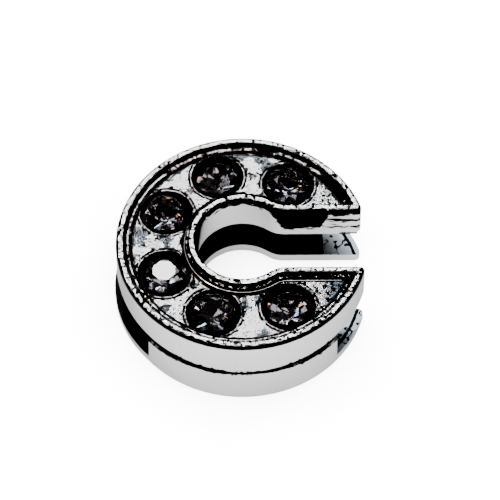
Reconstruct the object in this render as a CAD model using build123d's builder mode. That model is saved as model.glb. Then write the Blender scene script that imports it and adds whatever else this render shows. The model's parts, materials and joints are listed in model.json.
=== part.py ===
"""Letter C slider bead: one plated casting with six round stones, for an 8 mm wristband.

Frame: millimetres, +Z up, origin on the flat back face, under the middle of the letter's
overall box. The letter lies flat, its opening towards +X, and the band runs along X.
"""
import os
from math import atan2, cos, degrees, radians, sin, tan

from build123d import *

os.makedirs("parts", exist_ok=True)

# Letter outline, measured at the top of the rim
OUTER_R = 6.0
HOLE_R = 2.22
GAP_HALF = 1.58
BEND_R = 1.3
TIP_R = 0.22
WALL_DRAFT_DEG = 2.0

# Heights
HEIGHT = 4.45
BACK_PLATE = 0.55
SLOT_HEIGHT = 1.85

# Lip of the back plate at the closed end of the letter
LIP_REACH = 0.15
LIP_NARROWING = 0.25

# Band slot, for a band 8.0 mm wide
BAND_WIDTH = 8.0
BAND_CLEARANCE = 0.30
SLOT_CORNER_R = 0.22

# Raised rim and the sloping channel walls inside it
RIM_WIDTH = 0.29
RIM_OUTER_ROUND = 0.18
RIM_INNER_ROUND = 0.09
CHANNEL_DEPTH = 0.47
SHOULDER_DEPTH = 0.25
SHOULDER_WIDTH = 0.05
OUTER_WALL_RUN = 0.47
INNER_WALL_RUN = 0.23
CHANNEL_FILLET = 0.06
BACK_ROUND = 0.07

# Parting groove round the side wall, level with the slot ceiling
GROOVE_HEIGHT = 0.20
GROOVE_DEPTH = 0.24
GROOVE_BELOW_CEILING = 0.18
GROOVE_FLARE_DEG = 2.6

# Stones
STONE_D = 2.05
TABLE_D = 1.04
CROWN_HEIGHT = 0.36
GIRDLE_HEIGHT = 0.05
PAVILION_HEIGHT = 0.82
STAR_ANGLE = 22.0
BREAK_ANGLE = 42.0
BACK_MAIN_SHARE = 0.93
BACK_BREAK_ANGLE = 46.0
TABLE_ABOVE_FLOOR = 0.27
SEAT_CLEARANCE = 0.03

# Pockets
POCKET_D = 2.50
POCKET_LIP = 0.05
POCKET_LEDGE_DEPTH = 0.34
POCKET_ABOVE_FLOOR = 0.20

# Stone places: angle on the ring, ring radius, turn, tilt towards +X, tilt towards +Y
STONES = {
    "stone_1": (57.0, 4.12, 10.0, 2.0, -7.0),
    "stone_2": (107.0, 4.10, 31.0, -5.0, 7.0),
    "stone_3": (153.5, 4.09, 4.0, 6.0, -7.0),
    "stone_4": (204.5, 4.03, 20.0, -1.5, 1.0),
    "stone_5": (250.5, 4.07, 38.0, 4.0, -8.0),
    "stone_6": (301.0, 4.12, 15.0, -4.0, 7.0),
}

# Derived heights
wall_slope = tan(radians(WALL_DRAFT_DEG))
slot_floor_z = BACK_PLATE
slot_ceiling_z = BACK_PLATE + SLOT_HEIGHT
floor_z = HEIGHT - CHANNEL_DEPTH
stone_r = STONE_D / 2
girdle_z = floor_z + TABLE_ABOVE_FLOOR - CROWN_HEIGHT - GIRDLE_HEIGHT
seat_depth = PAVILION_HEIGHT + SEAT_CLEARANCE


def letter_outline(outer_r, hole_r, gap_half, bend_r, tip_r):
    """Return the flat outline of the letter, its opening towards +X."""
    with BuildSketch(mode=Mode.PRIVATE) as outline:
        Circle(outer_r)
        Circle(hole_r, mode=Mode.SUBTRACT)
        with Locations((outer_r, 0)):
            Rectangle(2 * outer_r, 2 * gap_half, mode=Mode.SUBTRACT)
        corners = outline.vertices().sort_by(Axis.X)
        fillet(corners[:2], radius=bend_r)
        tips = outline.vertices().sort_by(Axis.X)
        fillet(tips[-2:], radius=tip_r)
    return outline.sketch


def channel_outline(outer_run, inner_run):
    """Return the channel's outline, drawn in from the rim by a run on each side."""
    inner = RIM_WIDTH + inner_run
    return letter_outline(
        OUTER_R - RIM_WIDTH - outer_run, HOLE_R + inner, GAP_HALF + inner, BEND_R - inner, 0.10)


def pocket_place(name):
    """Return the point on the channel floor over which one stone sits."""
    angle, ring_r = STONES[name][:2]
    return (ring_r * cos(radians(angle)), ring_r * sin(radians(angle)), floor_z)


def facet(turn, radius, height, angle):
    """Return the plane of one facet: its bearing, a point on it and its slope."""
    point = (radius * cos(radians(turn)), radius * sin(radians(turn)), height)
    normal = (
        sin(radians(angle)) * cos(radians(turn)),
        sin(radians(angle)) * sin(radians(turn)),
        cos(radians(angle)),
    )
    return Plane(origin=point, z_dir=normal)


def stone_plane(name):
    """Return the plane of one stone's girdle, tilted as the stone was glued."""
    angle, ring_r, turn, tilt_x, tilt_y = STONES[name]
    x = ring_r * cos(radians(angle))
    y = ring_r * sin(radians(angle))
    return Plane(Location((x, y, girdle_z), (-tilt_y, tilt_x, turn)))


# Cutter for the parting groove: a ring, thin in the middle and wider towards the slot mouths
groove_z = slot_ceiling_z - GROOVE_BELOW_CEILING
groove_wall_r = OUTER_R + (HEIGHT - groove_z) * wall_slope
groove_reach = groove_wall_r + GROOVE_DEPTH
groove_half = GROOVE_HEIGHT / 2
groove_end_half = groove_half + groove_reach * tan(radians(GROOVE_FLARE_DEG))
with BuildPart() as groove_ring:
    with BuildSketch(Plane.XZ):
        with BuildLine():
            Polyline(
                (-groove_reach, -groove_end_half), (0, -groove_half),
                (groove_reach, -groove_end_half), (groove_reach, groove_end_half),
                (0, groove_half), (-groove_reach, groove_end_half), close=True)
        make_face()
    extrude(amount=groove_reach, both=True)
    Cylinder(groove_reach, 2 * groove_end_half, mode=Mode.INTERSECT)
    Cylinder(groove_wall_r - GROOVE_DEPTH, 2 * groove_end_half, mode=Mode.SUBTRACT)

# Casting: letter with a drafted outer wall, lip, channel, pockets, slot and groove
with BuildPart() as bead_body:
    back_r = OUTER_R + HEIGHT * wall_slope
    with BuildSketch():
        add(letter_outline(back_r, HOLE_R, GAP_HALF, BEND_R, TIP_R))
    with BuildSketch(Plane.XY.offset(HEIGHT)):
        add(letter_outline(OUTER_R, HOLE_R, GAP_HALF, BEND_R, TIP_R))
    loft(ruled=True)
    rim_edges = bead_body.edges().filter_by_position(Axis.Z, HEIGHT - 0.01, HEIGHT + 0.01)
    fillet(rim_edges, radius=RIM_OUTER_ROUND)

    # Lip that stands out under the slot mouth at the closed end
    with BuildSketch():
        with Locations((-LIP_REACH, 0)):
            Ellipse(back_r, back_r - LIP_NARROWING)
        with Locations((OUTER_R, 0)):
            Rectangle(2 * OUTER_R, 4 * OUTER_R, mode=Mode.SUBTRACT)
        Circle((OUTER_R + HOLE_R) / 2, mode=Mode.SUBTRACT)
    extrude(amount=BACK_PLATE)
    back_edges = bead_body.edges().filter_by_position(Axis.Z, -0.01, 0.01)
    fillet(back_edges, radius=BACK_ROUND)

    # Upper part of the channel, from the rim down to the shoulder
    outer_step = OUTER_WALL_RUN / 2
    inner_step = INNER_WALL_RUN / 2
    with BuildSketch(Plane.XY.offset(HEIGHT)):
        add(channel_outline(0.0, 0.0))
    with BuildSketch(Plane.XY.offset(HEIGHT - SHOULDER_DEPTH)):
        add(channel_outline(outer_step, inner_step))
    loft(ruled=True, mode=Mode.SUBTRACT)
    inner_rim = bead_body.edges(Select.LAST).filter_by_position(
        Axis.Z, HEIGHT - 0.01, HEIGHT + 0.01)
    fillet(inner_rim, radius=RIM_INNER_ROUND)

    # Lower part of the channel, down to the floor that carries the stones
    with BuildSketch(Plane.XY.offset(HEIGHT - SHOULDER_DEPTH)):
        add(channel_outline(outer_step + SHOULDER_WIDTH, inner_step + SHOULDER_WIDTH))
    with BuildSketch(Plane.XY.offset(floor_z)):
        add(channel_outline(
            OUTER_WALL_RUN + SHOULDER_WIDTH, INNER_WALL_RUN + SHOULDER_WIDTH))
    loft(ruled=True, mode=Mode.SUBTRACT)
    channel_foot = bead_body.edges(Select.LAST).filter_by_position(
        Axis.Z, floor_z - 0.01, floor_z + 0.01)
    fillet(channel_foot, radius=CHANNEL_FILLET)

    # Round pockets with a bevelled lip, and a conical seat under each stone
    for name in STONES:
        with Locations(pocket_place(name)):
            Cylinder(
                POCKET_D / 2, POCKET_ABOVE_FLOOR,
                align=(Align.CENTER, Align.CENTER, Align.MIN), mode=Mode.SUBTRACT)
            Cone(
                POCKET_D / 2 - POCKET_LIP, POCKET_D / 2, POCKET_LIP,
                align=(Align.CENTER, Align.CENTER, Align.MAX), mode=Mode.SUBTRACT)
            Cylinder(
                POCKET_D / 2 - POCKET_LIP, POCKET_LEDGE_DEPTH,
                align=(Align.CENTER, Align.CENTER, Align.MAX), mode=Mode.SUBTRACT)
        with Locations(stone_plane(name)):
            Cone(
                0.02, stone_r + SEAT_CLEARANCE, seat_depth,
                align=(Align.CENTER, Align.CENTER, Align.MAX), mode=Mode.SUBTRACT)

    # Band slot, right through along X
    with BuildSketch(Plane.YZ.offset(-2 * OUTER_R)):
        with Locations((0, (slot_floor_z + slot_ceiling_z) / 2)):
            RectangleRounded(BAND_WIDTH + BAND_CLEARANCE, SLOT_HEIGHT, SLOT_CORNER_R)
    extrude(amount=4 * OUTER_R, mode=Mode.SUBTRACT)

    # Parting groove round the side wall
    with Locations((0, 0, groove_z)):
        add(groove_ring.part, mode=Mode.SUBTRACT)

# Every piece is moved so that the origin lies under the middle of the letter's box
to_origin = Location((-bead_body.part.bounding_box().center().X, 0, 0))
body = bead_body.part.moved(to_origin)
body.label = "bead_body"
export_step(body, "parts/bead_body.step")

# Stones: octagonal table, star, main and girdle facets, pointed back
table_r = TABLE_D / 2 / cos(radians(22.5))
main_angle = degrees(atan2(CROWN_HEIGHT, stone_r - table_r))
back_angle = degrees(atan2(PAVILION_HEIGHT, stone_r * BACK_MAIN_SHARE))
for name in STONES:
    with BuildPart() as stone:
        Cylinder(
            stone_r, PAVILION_HEIGHT,
            align=(Align.CENTER, Align.CENTER, Align.MAX))
        Cylinder(
            stone_r, GIRDLE_HEIGHT + CROWN_HEIGHT,
            align=(Align.CENTER, Align.CENTER, Align.MIN))
        for step in range(8):
            turn = 45.0 * step
            split(bisect_by=facet(turn, table_r, GIRDLE_HEIGHT + CROWN_HEIGHT, main_angle),
                  keep=Keep.BOTTOM)
            split(bisect_by=facet(turn + 22.5, TABLE_D / 2, GIRDLE_HEIGHT + CROWN_HEIGHT,
                                  STAR_ANGLE), keep=Keep.BOTTOM)
            split(bisect_by=facet(turn, 0.0, -PAVILION_HEIGHT, 180.0 - back_angle),
                  keep=Keep.BOTTOM)
            split(bisect_by=facet(turn + 22.5, stone_r * 0.985, 0.0, 180.0 - BACK_BREAK_ANGLE),
                  keep=Keep.BOTTOM)
            for side in (-11.25, 11.25):
                split(bisect_by=facet(turn + side, stone_r, GIRDLE_HEIGHT, BREAK_ANGLE),
                      keep=Keep.BOTTOM)
    placed = stone.part.moved(to_origin * stone_plane(name).location)
    placed.label = name
    export_step(placed, f"parts/{name}.step")
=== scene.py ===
"""Letter C slider bead: looks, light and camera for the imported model.

A plated casting with a raised rim round a grainy channel, six smoky faceted
stones in round pockets, and a flat slot through the bead for a wristband.
Lengths of the casting's marks are in millimetres, and MM turns them into metres.
Places and sizes in the studio are in metres.
"""
from __future__ import annotations

import json
import logging
from dataclasses import dataclass, field
from enum import Enum
from math import cos, pi, radians, sin

import bpy
from bpy.types import Node, NodeSocket
from mathutils import Matrix, Vector

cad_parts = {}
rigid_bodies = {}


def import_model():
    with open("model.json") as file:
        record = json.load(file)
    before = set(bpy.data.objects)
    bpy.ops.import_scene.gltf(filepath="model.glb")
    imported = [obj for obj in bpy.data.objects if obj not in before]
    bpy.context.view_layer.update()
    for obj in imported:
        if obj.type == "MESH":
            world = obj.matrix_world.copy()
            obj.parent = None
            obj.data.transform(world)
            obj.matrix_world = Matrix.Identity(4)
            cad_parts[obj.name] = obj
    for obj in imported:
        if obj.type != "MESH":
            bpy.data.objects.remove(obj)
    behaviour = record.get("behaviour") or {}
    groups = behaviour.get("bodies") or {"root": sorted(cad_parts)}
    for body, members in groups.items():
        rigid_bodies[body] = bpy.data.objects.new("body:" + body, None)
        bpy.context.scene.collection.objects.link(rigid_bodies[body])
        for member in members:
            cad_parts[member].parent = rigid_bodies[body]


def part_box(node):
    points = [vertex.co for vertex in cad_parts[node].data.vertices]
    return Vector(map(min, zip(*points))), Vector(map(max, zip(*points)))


LOG = logging.getLogger("slider_bead")
# Units: MM is one millimetre in metres, and PLAIN is for readings that aren't lengths.
MM = 0.001
PLAIN = 1.0
# The middle of the letter's round part, in millimetres.
MIDDLE_X = 0.216
# Distance and size of the small lamps that only the stones show, in metres.
SPOT_DISTANCE = 0.15
SPOT_SIZE = 0.016
# The colour inputs of a Mix node, by number, because their names repeat.
SHARE, FIRST, SECOND = 0, 6, 7

Signal = Node | NodeSocket
NodeInput = float | int | bool | str | tuple[float, ...] | Signal


@dataclass(frozen=True)
class Span:
    """A range with soft ends: lengths in millimetres, or plain noise values."""

    low: float
    high: float
    soft: float


@dataclass(frozen=True)
class Ramp:
    """A smooth change of a result while a reading goes from low to high."""

    low: float
    high: float
    start: float = 0.0
    end: float = 1.0


@dataclass(frozen=True)
class Lumps:
    """A noise: lump size in millimetres, finer octaves, their strength, and bump height."""

    size: float
    detail: float
    fineness: float
    height: float = 0.0

    def at(self, place: Signal) -> dict[str, NodeInput]:
        """Give a noise texture's inputs, with the lumps at their real size."""
        return {"Vector": place, "Scale": 1.0 / (self.size * MM), "Detail": self.detail,
                "Roughness": self.fineness}


class Zone(Enum):
    """Height bands of the casting above its flat back."""

    SLOT = Span(0.53, 2.42, 0.01)
    POCKET = Span(2.60, 3.93, 0.01)
    FLOOR = Span(3.94, 4.02, 0.01)
    WALL = Span(4.02, 4.43, 0.02)
    RIM = Span(4.33, 4.60, 0.02)


def linear(code: str) -> tuple[float, float, float, float]:
    """Turn an sRGB hex code into linear colour.

    Args:
        code: Six hex digits, with or without a leading hash.

    Returns:
        Linear red, green and blue, with an alpha of one.
    """
    digits = code.lstrip("#")
    channels = [int(digits[i:i + 2], 16) / 255 for i in (0, 2, 4)]
    values = [c / 12.92 if c <= 0.04045 else ((c + 0.055) / 1.055) ** 2.4 for c in channels]
    return (values[0], values[1], values[2], 1.0)


class ShaderGraph:
    """A material's node tree, and the masks that are drawn with it."""

    def __init__(self, name: str) -> None:
        """Create an empty material.

        Args:
            name: Name of the real material or finish.
        """
        self.material = bpy.data.materials.new(name)
        self.material.use_nodes = True
        self.tree = self.material.node_tree
        self.tree.nodes.clear()

    def add(self, kind: str, inputs: dict[str | int, NodeInput] | tuple[NodeInput, ...] = (),
            **settings: object) -> Node:
        """Add a node, set its properties and fill or link its inputs.

        Args:
            kind: Blender's node type, without the ShaderNode prefix.
            inputs: Values, sockets or nodes, in order, or by input name or number.
                A node stands for its first output in use.
            settings: Node properties by name.

        Returns:
            The new node.
        """
        node = self.tree.nodes.new("ShaderNode" + kind)
        for key, value in settings.items():
            setattr(node, key, value)
        for key, value in inputs.items() if isinstance(inputs, dict) else enumerate(inputs):
            if isinstance(value, Node):
                value = next(socket for socket in value.outputs if socket.enabled)
            if isinstance(value, NodeSocket):
                self.tree.links.new(value, node.inputs[key])
            else:
                node.inputs[key].default_value = value
        return node

    def finish(self, surface: Node) -> bpy.types.Material:
        """Link the last shader to the material's output, and give the material."""
        self.add("OutputMaterial", {"Surface": surface})
        return self.material

    def over(self, value: Signal, limit_mm: float) -> Node:
        """Mask where a length is over a limit."""
        return self.add("Math", (value, limit_mm * MM), operation="GREATER_THAN")

    def under(self, value: Signal, limit_mm: float) -> Node:
        """Mask where a length is under a limit."""
        return self.add("Math", (value, limit_mm * MM), operation="LESS_THAN")

    def fade(self, value: Signal, ramp: Ramp, unit: float = MM) -> Node:
        """Go smoothly from one value to another.

        Args:
            value: The reading that is followed.
            ramp: Where the change starts and ends, and the results there.
            unit: MM for a length, PLAIN for anything else.

        Returns:
            The result.
        """
        return self.add("MapRange", {
            "Value": value, "From Min": ramp.low * unit, "From Max": ramp.high * unit,
            "To Min": ramp.start, "To Max": ramp.end,
        }, interpolation_type="SMOOTHSTEP")

    def band(self, value: Signal, span: Span, unit: float = MM) -> Node:
        """Mask the inside of a band, with soft ends.

        Args:
            value: The reading that is tested.
            span: The band.
            unit: MM for a length, PLAIN for anything else.

        Returns:
            The mask.
        """
        rise = Ramp(span.low - span.soft, span.low + span.soft)
        fall = Ramp(span.high - span.soft, span.high + span.soft, 1.0, 0.0)
        return self.both(self.fade(value, rise, unit), self.fade(value, fall, unit))

    def most(self, *masks: Signal) -> Signal:
        """Join masks, keeping the strongest.

        Args:
            masks: The masks.

        Returns:
            Their maximum.
        """
        result = masks[0]
        for mask in masks[1:]:
            result = self.add("Math", (result, mask), operation="MAXIMUM")
        return result

    def both(self, *masks: Signal) -> Signal:
        """Keep only what all the masks share.

        Args:
            masks: The masks.

        Returns:
            Their product.
        """
        result = masks[0]
        for mask in masks[1:]:
            result = self.add("Math", (result, mask), operation="MULTIPLY")
        return result

    def sway(self, value: Signal, amount: float, base: NodeInput) -> Node:
        """Move a reading by a share of another one: value times amount, plus base."""
        return self.add("Math", (value, amount, base), operation="MULTIPLY_ADD")


@dataclass(frozen=True)
class Reading:
    """What the casting's material knows about the point that it colours.

    Attributes:
        graph: The material's graph.
        place: Object coordinates.
        along: X from the letter's middle, along the slot.
        side: Y, positive at the upper arm.
        across: Distance from the letter's middle line.
        height: Z, from the flat back.
        radius: Distance from the letter's middle, seen from above.
        fine: Noise as fine as the cast grain.
        coarse: Noise three times as coarse.
        shift: Both noises together, about zero, for the uneven edges of marks.
        speck: Noise of the black flecks.
        patchy: Noise of the patches where flecks and blue-grey floor patches gather.
        tip: One at the arms' ends.
        lower: One on the lower arm's half.
    """

    graph: ShaderGraph
    place: Signal
    along: Signal
    side: Signal
    across: Signal
    height: Signal
    radius: Signal
    fine: Signal
    coarse: Signal
    shift: Signal
    speck: Signal
    patchy: Signal
    tip: Signal
    lower: Signal

    def uneven(self, value: Signal, amount_mm: float) -> Node:
        """Make the edge of a mark uneven, by this much for a whole step of the noise."""
        return self.graph.sway(self.shift, amount_mm * MM, value)

    def zone(self, which: Zone) -> Signal:
        """Mask one height band."""
        return self.graph.band(self.height, which.value)


@dataclass(frozen=True)
class Gauge:
    """Takes the readings that all the casting's marks share."""

    fine: Lumps = Lumps(0.13, 3.0, 0.6)
    coarse: Lumps = Lumps(0.45, 3.0, 0.6)
    speck: Lumps = Lumps(0.18, 3.0, 0.65)
    patchy: Lumps = Lumps(0.95, 2.0, 0.5)
    tip: Ramp = Ramp(3.1, 4.3)

    def read(self, g: ShaderGraph) -> Reading:
        """Add the nodes that read a point of the casting.

        Args:
            g: The material's graph.

        Returns:
            The readings.
        """
        place = g.add("TexCoord").outputs["Object"]
        axes = g.add("SeparateXYZ", (place,)).outputs
        along = g.add("Math", (axes["X"], MIDDLE_X * MM), operation="SUBTRACT")
        across = g.add("Math", (axes["Y"],), operation="ABSOLUTE")
        squares = g.add("Math", (along, along, g.both(across, across)), operation="MULTIPLY_ADD")
        fine = g.add("TexNoise", self.fine.at(place))
        coarse = g.add("TexNoise", self.coarse.at(place))
        noises = g.add("Math", (fine, coarse), operation="ADD")
        return Reading(
            graph=g, place=place, along=along, side=axes["Y"], across=across,
            height=axes["Z"], radius=g.add("Math", (squares,), operation="SQRT"),
            fine=fine, coarse=coarse, shift=g.add("Math", (noises, 1.0), operation="SUBTRACT"),
            speck=g.add("TexNoise", self.speck.at(place)),
            patchy=g.add("TexNoise", self.patchy.at(place)),
            tip=g.fade(along, self.tip), lower=g.under(axes["Y"], 0.0))


@dataclass(frozen=True)
class Channel:
    """The sunk channel between the rim's two sides."""

    ring: Span = Span(2.42, 5.80, 0.02)
    gap_from: float = 1.5
    gap_side: float = 1.78

    def mask(self, r: Reading) -> Signal:
        """Mask the channel, seen from above.

        Args:
            r: The readings.

        Returns:
            The mask.
        """
        g = r.graph
        clear_of_gap = g.most(g.under(r.along, self.gap_from), g.over(r.across, self.gap_side))
        return g.both(g.band(r.radius, self.ring), clear_of_gap)


@dataclass(frozen=True)
class StoneRings:
    """The bright ring round each pocket, a bump, with a dark edge on both sides painted as
    shade.
    """

    stones: tuple[tuple[float, float], ...]
    unevenness: float = 0.06
    lip: Span = Span(1.295, 1.35, 0.03)
    lip_height: float = 0.020
    inner_edge: Span = Span(1.10, 1.29, 0.01)
    outer_edge: Span = Span(1.355, 1.46, 0.015)
    broken: Ramp = Ramp(0.36, 0.44)

    def distance(self, r: Reading) -> Signal:
        """Measure the flat distance to the nearest stone's centre.

        Args:
            r: The readings.

        Returns:
            The distance, with an uneven edge.
        """
        g = r.graph
        flat = g.add("VectorMath", (r.place, (1.0, 1.0, 0.0)), operation="MULTIPLY")
        away = [g.add("VectorMath", (flat, (x, y, 0.0)), operation="DISTANCE")
                for x, y in self.stones]
        near = away[0]
        for distance in away[1:]:
            near = g.add("Math", (near, distance), operation="MINIMUM")
        return r.uneven(near, self.unevenness)

    def lips(self, r: Reading, floor: Signal, near: Signal) -> Signal:
        """Mask the bright rings on the channel floor."""
        return r.graph.both(floor, r.graph.band(near, self.lip))

    def edges(self, r: Reading, floor: Signal, near: Signal) -> Signal:
        """Mask the dark edges beside the rings, painted shade; the outer one is broken up.

        Args:
            r: The readings.
            floor: Mask of the channel floor.
            near: Distance to the nearest stone.

        Returns:
            The mask.
        """
        g = r.graph
        outer = g.both(g.band(near, self.outer_edge), g.fade(r.coarse, self.broken, PLAIN))
        return g.both(floor, g.most(g.band(near, self.inner_edge), outer))


@dataclass(frozen=True)
class FloorEdge:
    """The dark edge of the channel floor beside the hole and the gap, a painted shadow line
    where the floor meets the walls.
    """

    hole_unevenness: float = 0.30
    beside_hole: Span = Span(2.60, 2.96, 0.02)
    gap_unevenness: float = 0.10
    beside_gap: Span = Span(2.00, 2.20, 0.02)
    gap_from: float = 1.3

    def mask(self, r: Reading, floor: Signal) -> Signal:
        """Mask the dark edge, painted shade.

        Args:
            r: The readings.
            floor: Mask of the channel floor.

        Returns:
            The mask.
        """
        g = r.graph
        hole = g.band(r.uneven(r.radius, self.hole_unevenness), self.beside_hole)
        gap = g.both(g.band(r.uneven(r.across, self.gap_unevenness), self.beside_gap),
                     g.over(r.along, self.gap_from))
        return g.both(floor, g.most(hole, gap))


@dataclass(frozen=True)
class SlotInside:
    """The slot: black in its depth, painted shade; at the arms' ends a dim blue-grey, painted
    half shade, with dark veins painted as dark reflections.
    """

    half_width: float = 4.16
    lower_start: float = 3.20
    upper_start: float = 3.95
    reach: Ramp = Ramp(0.0, 0.2)
    vein_lumps: Lumps = Lumps(0.9, 2.0, 0.6)
    vein: Span = Span(0.472, 0.515, 0.004)
    end_unevenness: float = 0.10
    end_vein: Span = Span(5.74, 5.90, 0.01)

    def mask(self, r: Reading) -> Signal:
        """Mask the whole inside of the slot."""
        return r.graph.both(r.zone(Zone.SLOT), r.graph.under(r.across, self.half_width))

    def mouth(self, r: Reading, inside: Signal) -> Signal:
        """Mask the part of the slot that light reaches.

        Args:
            r: The readings.
            inside: Mask of the whole inside.

        Returns:
            The mask.
        """
        g = r.graph
        start = g.sway(g.over(r.side, 0.0), (self.upper_start - self.lower_start) * MM,
                       self.lower_start * MM)
        past = g.add("Math", (r.along, start), operation="SUBTRACT")
        return g.both(inside, g.fade(past, self.reach))

    def veins(self, r: Reading, mouth: Signal) -> Signal:
        """Mask the dark veins in the mouth, painted dark reflections.

        Args:
            r: The readings.
            mouth: Mask of the mouth.

        Returns:
            The mask.
        """
        g = r.graph
        lumps = g.add("TexNoise", self.vein_lumps.at(r.place))
        end = g.band(r.uneven(r.radius, self.end_unevenness), self.end_vein)
        return g.both(mouth, g.most(g.band(lumps, self.vein, PLAIN), end))


@dataclass(frozen=True)
class WallShade:
    """Black lines and patches on the channel's sloping walls."""

    unevenness: float = 0.10
    foot: Span = Span(4.03, 4.165, 0.01)
    shoulder: Span = Span(4.235, 4.415, 0.01)
    corner_slope: float = 0.030
    corner_lumps: Lumps = Lumps(1.3, 1.0, 0.5)
    closed: Ramp = Ramp(0.66, 0.72)
    hole_radius: float = 2.95
    gap_side: float = 2.35
    gap_from: float = 1.0
    speckled: Ramp = Ramp(0.41, 0.43)

    def mask(self, r: Reading, wall: Signal) -> Signal:
        """Mask the lines, the closed patch on the upper arm, and the inner wall.

        Args:
            r: The readings.
            wall: Mask of the channel walls.

        Returns:
            The mask.
        """
        g = r.graph
        ragged = r.uneven(r.height, self.unevenness)
        lines = g.most(g.band(ragged, self.foot), g.band(ragged, self.shoulder))
        corner = g.add("Math", (r.along, r.side), operation="ADD")
        lumps = g.add("TexNoise", self.corner_lumps.at(r.place))
        closed = g.fade(g.sway(corner, self.corner_slope / MM, lumps), self.closed, PLAIN)
        beside_gap = g.both(g.under(r.across, self.gap_side), g.over(r.along, self.gap_from))
        inner = g.both(g.fade(r.speck, self.speckled, PLAIN),
                       g.most(g.under(r.radius, self.hole_radius), beside_gap))
        return g.both(wall, g.most(lines, closed, inner))


@dataclass(frozen=True)
class Flecks:
    """Small black flecks, painted dark reflections of the cast grain, denser by the stones and
    at the lower tip.
    """

    patch: Ramp = Ramp(0.36, 0.54, 0.070, 0.0)
    tip_pull: float = -0.20
    by_stone: Ramp = Ramp(1.35, 1.75, 0.050, 0.0)
    lower_tip: float = 0.055
    on_floor: Ramp = Ramp(0.603, 0.623)
    on_slopes: Ramp = Ramp(0.510, 0.545)

    def mask(self, r: Reading, floor: Signal, slopes: Signal, near: Signal) -> Signal:
        """Mask the flecks.

        Args:
            r: The readings.
            floor: Mask of the channel floor.
            slopes: Mask of the channel walls and the rim.
            near: Distance to the nearest stone.

        Returns:
            The mask.
        """
        g = r.graph
        pulled = g.sway(r.tip, self.tip_pull, r.patchy)
        crowd = g.add("Math", (g.fade(pulled, self.patch, PLAIN), g.fade(near, self.by_stone)),
                      operation="ADD")
        crowd = g.sway(g.both(r.tip, r.lower), self.lower_tip, crowd)
        crowded = g.add("Math", (r.speck, crowd), operation="ADD")
        return g.most(g.both(floor, g.fade(crowded, self.on_floor, PLAIN)),
                      g.both(slopes, g.fade(r.speck, self.on_slopes, PLAIN)))


@dataclass(frozen=True)
class RimOutline:
    """The thin black line outside the rim's crest, a painted dark reflection."""

    unevenness: float = 0.04
    span: Span = Span(4.25, 4.439, 0.004)
    outside_radius: float = 5.80

    def mask(self, r: Reading) -> Signal:
        """Mask the line."""
        crest = r.graph.band(r.uneven(r.height, self.unevenness), self.span)
        return r.graph.both(crest, r.graph.over(r.radius, self.outside_radius))


@dataclass(frozen=True)
class PartingGroove:
    """The parting groove, painted black as shade, which widens towards the slot mouths."""

    height: float = 2.22
    half_height: float = 0.118
    spread: float = 0.0400
    unevenness: float = 0.45
    soft: Ramp = Ramp(-0.01, 0.01)
    outside_radius: float = 5.0

    def mask(self, r: Reading) -> Signal:
        """Mask the groove.

        Args:
            r: The readings.

        Returns:
            The mask.
        """
        g = r.graph
        torn = r.uneven(r.height, self.unevenness)
        above = g.add("Math", (torn, self.height * MM), operation="SUBTRACT")
        off = g.add("Math", (above,), operation="ABSOLUTE")
        length = g.add("Math", (r.along,), operation="ABSOLUTE")
        half = g.sway(length, self.spread, self.half_height * MM)
        within = g.add("Math", (half, off), operation="SUBTRACT")
        return g.both(g.fade(within, self.soft), g.over(r.radius, self.outside_radius))


@dataclass(frozen=True)
class HoleAndGapShade:
    """Painted shade on the walls of the hole and the gap, with a streaky, torn-looking edge."""

    stretch: tuple[float, float, float] = (0.30, 1.0, 1.3)
    streaks: Lumps = Lumps(0.22, 3.0, 0.6)
    middle: float = 0.5
    tear: float = 0.9
    unevenness: float = 0.10
    hole_radius: float = 2.42
    gap_side: float = 1.76
    gap_from: float = 0.9
    bottom: float = 2.50
    top: float = 4.42
    edge: float = 4.00
    blob_start: Ramp = Ramp(1.2, 2.1)
    blob_end: Ramp = Ramp(3.7, 4.3, 1.0, 0.0)
    blob_drop: float = -1.15
    soft: Ramp = Ramp(-0.02, 0.02)
    arm_end: Ramp = Ramp(3.6, 4.3)
    stripes: tuple[Span, ...] = (Span(3.45, 3.70, 0.02), Span(2.95, 3.12, 0.02))

    def mask(self, r: Reading) -> Signal:
        """Mask the painted shade under the rim, its deep blob, and the painted dark stripes at
        the arms' ends.

        Args:
            r: The readings.

        Returns:
            The mask.
        """
        g = r.graph
        ragged = r.uneven(r.height, self.unevenness)
        drawn = g.add("VectorMath", (r.place, self.stretch), operation="MULTIPLY")
        noise = g.add("TexNoise", self.streaks.at(drawn))
        streak = g.add("Math", (noise, self.middle), operation="SUBTRACT")
        torn = g.sway(streak, self.tear * MM, ragged)
        beside_gap = g.both(g.under(r.across, self.gap_side), g.over(r.along, self.gap_from))
        inner = g.most(g.under(r.radius, self.hole_radius), beside_gap)
        blob = g.both(g.fade(r.along, self.blob_start), g.fade(r.along, self.blob_end))
        edge = g.sway(blob, self.blob_drop * MM, self.edge * MM)
        upper_shade = g.fade(g.add("Math", (torn, edge), operation="SUBTRACT"), self.soft)
        stripes = g.both(g.fade(r.along, self.arm_end),
                         g.most(*(g.band(torn, span) for span in self.stripes)))
        return g.both(inner, g.over(ragged, self.bottom), g.under(ragged, self.top),
                      g.most(upper_shade, stripes))


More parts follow.
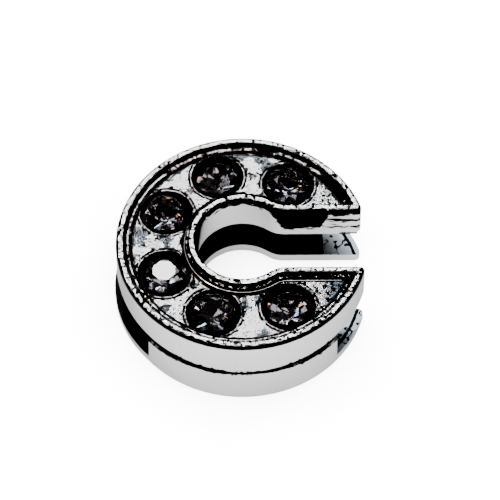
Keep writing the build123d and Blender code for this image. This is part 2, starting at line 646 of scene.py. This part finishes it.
@dataclass(frozen=True)
class FloorPatches:
    """Blue-grey patches on the channel floor, darker towards its outer wall and at both tips; by
    the outer wall they are painted shade.
    """

    by_wall: Ramp = Ramp(4.3, 5.5)
    away_from_front: Ramp = Ramp(-4.0, -1.0)
    wall_pull: float = -0.10
    patch: Ramp = Ramp(0.37, 0.43, 0.90, 0.0)
    upper_tip: float = 0.5

    def mask(self, r: Reading, floor: Signal) -> Signal:
        """Mask the blue-grey patches.

        Args:
            r: The readings.
            floor: Mask of the channel floor.

        Returns:
            The mask.
        """
        g = r.graph
        edge = g.both(g.fade(r.radius, self.by_wall), g.fade(r.side, self.away_from_front))
        pulled = g.sway(edge, self.wall_pull, r.patchy)
        tips = g.both(r.tip, g.sway(r.lower, 1.0 - self.upper_tip, self.upper_tip))
        return g.both(floor, g.most(g.fade(pulled, self.patch, PLAIN), tips))


@dataclass(frozen=True)
class PlatedCasting:
    """Bright plating over a die casting, smooth outside and grainy in the channel.

    To the eye it is a mirror: the smooth walls show the paper as an even grey, because the paper
    is painted grey where it is mirrored, and the grain shows as small flecks, white from its
    bumps and black as painted dark reflections. Deep places are painted black as shade.
    """

    stones: tuple[tuple[float, float], ...]
    name: str = "bright_plated_zinc_casting"
    plating: str = "E2E2E3"
    # tarnish on the pits outside the channel; on the slot's mouth the same blue-grey is painted
    # half shade
    pit_tarnish_and_mouth_shade: str = "747C84"
    # the blue-grey of the floor patches; by the outer wall it is painted shade
    patch_grey: str = "434B54"
    # the black of painted shade and painted dark reflections
    shade: str = "000000"
    edge: str = "B4B4B4"
    dent: Lumps = Lumps(1.00, 1.0, 0.5, 0.260)
    lump: Lumps = Lumps(0.16, 2.0, 0.6, 0.070)
    rough: Lumps = Lumps(0.20, 3.0, 0.6, 0.140)
    wave: Lumps = Lumps(2.4, 1.0, 0.4, 0.010)
    grain_height: float = 0.070
    pit: Lumps = Lumps(0.13, 1.0, 0.5)
    pitted: Ramp = Ramp(0.74, 0.78)
    gloss: Ramp = Ramp(0.2, 0.8, 0.02, 0.05)
    mouth_dullness: float = 0.35

    def build(self) -> bpy.types.Material:
        """Build the casting's material.

        Returns:
            The finished material.
        """
        g = ShaderGraph(self.name)
        r = Gauge().read(g)
        channel = Channel().mask(r)
        floor = g.both(r.zone(Zone.FLOOR), channel)
        wall = g.both(r.zone(Zone.WALL), channel)
        rim = r.zone(Zone.RIM)
        rings = StoneRings(self.stones)
        near = rings.distance(r)
        slot = SlotInside()
        inside = slot.mask(r)
        mouth = slot.mouth(r, inside)
        pitting = g.fade(g.add("TexNoise", self.pit.at(r.place)), self.pitted, PLAIN)
        pits = g.both(g.add("Math", (1.0, channel), operation="SUBTRACT"), pitting)
        # Painted black: shade in the slot's depth, the pockets, the parting groove and on the
        # walls of the hole and the gap, and dark reflections as wall lines, veins, flecks, the
        # rim's outline and the edges by the rings and the hole.
        dark = g.most(
            g.add("Math", (inside, mouth), operation="SUBTRACT"),
            g.both(r.zone(Zone.POCKET), channel),
            slot.veins(r, mouth),
            WallShade().mask(r, wall),
            Flecks().mask(r, floor, g.most(wall, rim), near),
            RimOutline().mask(r),
            rings.edges(r, floor, near),
            FloorEdge().mask(r, floor),
            PartingGroove().mask(r),
            HoleAndGapShade().mask(r))
        # Coats: tarnish on the pits and painted half shade on the slot's mouth, blue-grey floor
        # patches (painted shade by the outer wall), then the painted black.
        coats = ((g.most(mouth, pits), self.pit_tarnish_and_mouth_shade), (FloorPatches().mask(r, floor), self.patch_grey),
                 (dark, self.shade))
        tint: NodeInput = linear(self.plating)
        for mask, colour in coats:
            tint = g.add("Mix", {SHARE: mask, FIRST: tint, SECOND: linear(colour)},
                         data_type="RGBA")
        return g.finish(g.add("BsdfPrincipled", {
            "Base Color": tint, "Metallic": 1.0,
            "Roughness": g.sway(mouth, self.mouth_dullness, g.fade(r.coarse, self.gloss, PLAIN)),
            "Normal": self.relief(r, floor, wall, rim, rings.lips(r, floor, near)),
            "Specular Tint": linear(self.edge)}))

    def relief(self, r: Reading, floor: Signal, wall: Signal, rim: Signal,
               lips: Signal) -> Node:
        """Add up the cast unevenness of each part of the casting.

        Args:
            r: The readings.
            floor: Mask of the channel floor.
            wall: Mask of the channel walls.
            rim: Mask of the rim.
            lips: Mask of the rings round the pockets.

        Returns:
            The bumped normal.
        """
        g = r.graph
        wave = g.add("TexNoise", self.wave.at(r.place))
        layers = (
            (r.fine, floor, self.grain_height),
            (g.add("TexNoise", self.dent.at(r.place)), floor, self.dent.height),
            (g.add("TexNoise", self.lump.at(r.place)), rim, self.lump.height),
            (g.add("TexNoise", self.rough.at(r.place)), wall, self.rough.height),
            (lips, lips, StoneRings.lip_height),
        )
        total = g.add("Math", (wave, self.wave.height), operation="MULTIPLY")
        for value, mask, height in layers:
            total = g.sway(g.both(value, mask), height, total)
        return g.add("Bump", {"Strength": 1.0, "Distance": MM, "Height": total})


@dataclass(frozen=True)
class SmokyStone:
    """Dark smoky glass with a foiled back, cut with flat facets.

    To the eye it is nearly black, with small bright glints where the foil behind the
    glass mirrors a lamp, some a little warm and some a little cool. Polishing marks on
    the facets are too fine to show, so the scuff is drawn as a faint, coarser waviness.
    """

    name: str
    girdle_height: float
    glass: str = "B6B3B6"
    glass_ior: float = 1.56
    foil: str = "D2D1D4"
    warm: str = "D2CEC6"
    cool: str = "BFC1D2"
    foil_roughness: float = 0.04
    girdle_drop: float = 0.03
    hue: Lumps = Lumps(0.5, 1.0, 0.5)
    hue_stops: tuple[float, float, float] = (0.38, 0.5, 0.62)
    scuff: Lumps = Lumps(0.34, 3.0, 0.7, 0.006)

    def build(self) -> bpy.types.Material:
        """Build one stone's material: clear crown above, dark foil below.

        Returns:
            The finished material.
        """
        g = ShaderGraph(self.name)
        place = g.add("TexCoord").outputs["Object"]
        height = g.add("SeparateXYZ", (place,)).outputs["Z"]
        back = g.add("Math", (height, self.girdle_height - self.girdle_drop * MM),
                     operation="LESS_THAN")
        ramp = g.add("ValToRGB", {"Fac": g.add("TexNoise", self.hue.at(place))})
        warm_at, foil_at, cool_at = self.hue_stops
        first, last = ramp.color_ramp.elements
        first.position, first.color = warm_at, linear(self.warm)
        last.position, last.color = cool_at, linear(self.cool)
        ramp.color_ramp.elements.new(foil_at).color = linear(self.foil)
        foil = g.add("BsdfPrincipled", {
            "Base Color": ramp, "Metallic": 1.0, "Roughness": self.foil_roughness})
        marks = g.add("Math", (g.add("TexNoise", self.scuff.at(place)), self.scuff.height),
                      operation="MULTIPLY")
        scuffed = g.add("Bump", {"Strength": 1.0, "Distance": MM, "Height": marks})
        glass = g.add("BsdfGlass", {
            "Color": linear(self.glass), "Roughness": 0.0, "IOR": self.glass_ior,
            "Normal": scuffed})
        return g.finish(g.add("MixShader", (back, glass, foil)))


@dataclass(frozen=True)
class PaleFloor:
    """Matt white paper with a faint fibre.

    To the eye it is a plain white ground; where the casting mirrors it, it is painted a mid
    grey, a painted shade in the reflections. Real paper fibre is finer than a pixel, so it is
    drawn coarser.
    """

    name: str = "matt_white_paper"
    colour: str = "F7F7F7"
    # the paper's colour as the casting mirrors it, a painted shade
    painted_reflection_grey: str = "666666"
    fibre: Lumps = Lumps(0.6, 2.0, 0.5, 0.01)
    fibre_strength: float = 0.1
    roughness: float = 0.9

    def build(self) -> bpy.types.Material:
        """Build the floor's material.

        Returns:
            The finished material.
        """
        g = ShaderGraph(self.name)
        place = g.add("TexCoord").outputs["Object"]
        bump = g.add("Bump", {
            "Strength": self.fibre_strength, "Distance": self.fibre.height * MM,
            "Height": g.add("TexNoise", self.fibre.at(place))})
        # Rays that the casting mirrors see the paper painted grey: painted shade in its
        # reflections.
        mirrored = g.add("LightPath").outputs["Is Glossy Ray"]
        paper = g.add("Mix", {SHARE: mirrored, FIRST: linear(self.colour),
                              SECOND: linear(self.painted_reflection_grey)}, data_type="RGBA")
        return g.finish(g.add("BsdfPrincipled", {
            "Base Color": paper, "Roughness": self.roughness, "Normal": bump}))


@dataclass
class StoneRow:
    """The six stones of the letter."""

    count: int = 6
    girdle_below_top: float = 0.45

    def middle(self, number: int) -> tuple[float, float, float]:
        """Find the middle of one stone's girdle, by the stone's number from one."""
        low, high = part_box(f"stone_{number}")
        return ((low[0] + high[0]) / 2, (low[1] + high[1]) / 2,
                high[2] - self.girdle_below_top * MM)

    def middles(self) -> tuple[tuple[float, float], ...]:
        """List the flat places of all the stones."""
        return tuple(self.middle(number)[:2] for number in range(1, self.count + 1))

    def dress(self) -> None:
        """Give each packed stone its own smoky glass."""
        for number in range(1, self.count + 1):
            finish = SmokyStone(f"smoky_glass_{number}", self.middle(number)[2])
            wear(bpy.data.objects[f"stone_{number}"], finish.build())


@dataclass
class Casting:
    """The plated letter itself."""

    stones: StoneRow
    node: str = "bead_body"

    def dress(self) -> None:
        """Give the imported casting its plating."""
        wear(bpy.data.objects[self.node], PlatedCasting(self.stones.middles()).build())


@dataclass(frozen=True)
class SoftBox:
    """One rectangular studio light, and which finishes show it."""

    name: str
    azimuth: float
    elevation: float
    distance: float
    width: float
    depth: float
    radiance: float
    colour: str = "FFFFFF"
    on_metal: bool = True
    in_stones: bool = True

    def build(self, target: Vector) -> None:
        """Place the light so that it faces the target.

        Args:
            target: Point that the light faces.
        """
        data = bpy.data.lights.new(self.name, "AREA")
        data.shape = "RECTANGLE"
        data.size = self.width
        data.size_y = self.depth
        data.energy = self.radiance * pi * self.width * self.depth
        data.color = linear(self.colour)[:3]
        light = bpy.data.objects.new(self.name, data)
        bpy.context.scene.collection.objects.link(light)
        a, e = radians(self.azimuth), radians(self.elevation)
        offset = Vector((sin(a) * cos(e), -cos(a) * cos(e), sin(e))) * self.distance
        light.location = target + offset
        light.rotation_euler = (-offset).to_track_quat("-Z", "Y").to_euler()
        light.visible_glossy = self.on_metal
        light.visible_transmission = self.in_stones
        light.visible_camera = False


def spot(name: str, azimuth: float, elevation: float, radiance: float,
         colour: str = "FFFFFF") -> SoftBox:
    """Describe a small lamp that only the stones show, at two angles in degrees."""
    return SoftBox(name, azimuth, elevation, SPOT_DISTANCE, SPOT_SIZE, SPOT_SIZE, radiance,
                   colour, on_metal=False)


@dataclass
class Studio:
    """Floor, lights, surroundings and camera."""

    floor_size: float = 0.6
    surroundings: str = "0A0A0B"
    target: Vector = field(default_factory=lambda: Vector((MIDDLE_X, 0.0, 2.09)) * MM)
    camera_elevation: float = 57.1
    camera_distance: float = 75.0 * MM
    camera_roll: float = 0.34
    sensor_width: float = 36.0
    picture_pixels: float = 500.0
    pixels_per_mm: float = 20.59
    target_pixel: tuple[float, float] = (242.5, 265.0)
    clip: tuple[float, float] = (0.001, 10.0)
    boxes: tuple[SoftBox, ...] = (
        SoftBox("back_strip", 180.0, 57.0, 0.16, 0.22, 0.045, 9.0),
        SoftBox("top_strip", 0.0, 79.0, 0.16, 0.22, 0.018, 6.5),
        SoftBox("front_strip", 0.0, 24.0, 0.16, 0.22, 0.014, 8.0),
        SoftBox("grey_card", 180.0, 88.0, 0.22, 0.40, 0.14, 0.16, colour="DCE4EC"),
        SoftBox("table_flash", 191.8, 55.6, 0.150, 0.018, 0.018, 110.0),
        spot("spot_front", 20.0, 38.0, 260.0),
        spot("spot_amber", 335.0, 62.0, 26.0, "FFDCBC"),
        spot("spot_right", 75.0, 50.0, 260.0),
        spot("spot_violet", 260.0, 70.0, 50.0, "BDB6FF"),
        spot("spot_back", 215.0, 38.0, 260.0),
        spot("spot_left", 255.0, 55.0, 260.0, "FFF0E4"),
        spot("spot_teal", 290.0, 72.0, 50.0, "B4E2E6"),
        spot("spot_low", 130.0, 30.0, 260.0),
        SoftBox("overhead_fill", 0.0, 88.0, 0.30, 0.40, 0.40, 39.8,
                on_metal=False, in_stones=False),
    )

    def build(self) -> None:
        """Build the whole studio."""
        self.build_floor()
        self.build_surroundings()
        for box in self.boxes:
            box.build(self.target)
        self.build_camera()

    def build_floor(self) -> None:
        """Lay the paper that the bead rests on."""
        bpy.ops.mesh.primitive_plane_add(size=self.floor_size, location=(0.0, 0.0, 0.0))
        floor = bpy.context.object
        floor.name = "floor"
        wear(floor, PaleFloor().build())

    def build_surroundings(self) -> None:
        """Keep the room round the bead dark and even."""
        world = bpy.data.worlds.new("dark_studio")
        world.use_nodes = True
        background = world.node_tree.nodes["Background"]
        background.inputs["Color"].default_value = linear(self.surroundings)
        bpy.context.scene.world = world

    def build_camera(self) -> None:
        """Set the camera at the photograph's angle, distance and framing."""
        data = bpy.data.cameras.new("camera")
        pixels = self.picture_pixels
        data.sensor_width = self.sensor_width
        data.lens = self.pixels_per_mm * self.sensor_width * self.camera_distance / MM / pixels
        data.shift_x = (pixels / 2 - self.target_pixel[0]) / pixels
        data.shift_y = (self.target_pixel[1] - pixels / 2) / pixels
        data.clip_start, data.clip_end = self.clip
        camera = bpy.data.objects.new("camera", data)
        bpy.context.scene.collection.objects.link(camera)
        e = radians(self.camera_elevation)
        offset = Vector((0.0, -cos(e), sin(e))) * self.camera_distance
        turn = (-offset).to_track_quat("-Z", "Y").to_matrix().to_4x4()
        roll = Matrix.Rotation(radians(-self.camera_roll), 4, "Z")
        camera.matrix_world = Matrix.Translation(self.target + offset) @ turn @ roll
        bpy.context.scene.camera = camera


def wear(piece: bpy.types.Object, material: bpy.types.Material) -> None:
    """Put one material on every slot of a piece.

    Args:
        piece: Object that is dressed.
        material: Material that it wears.
    """
    if not piece.material_slots:
        piece.data.materials.append(material)
    for slot in piece.material_slots:
        slot.material = material
    LOG.info("%s wears %s", piece.name, material.name)


def main() -> None:
    """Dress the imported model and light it."""
    logging.basicConfig(level=logging.INFO)
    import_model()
    bpy.ops.object.select_all(action="DESELECT")
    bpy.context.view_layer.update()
    stones = StoneRow()
    Casting(stones).dress()
    stones.dress()
    Studio().build()
    LOG.info("studio built")


if __name__ == "__main__":
    main()
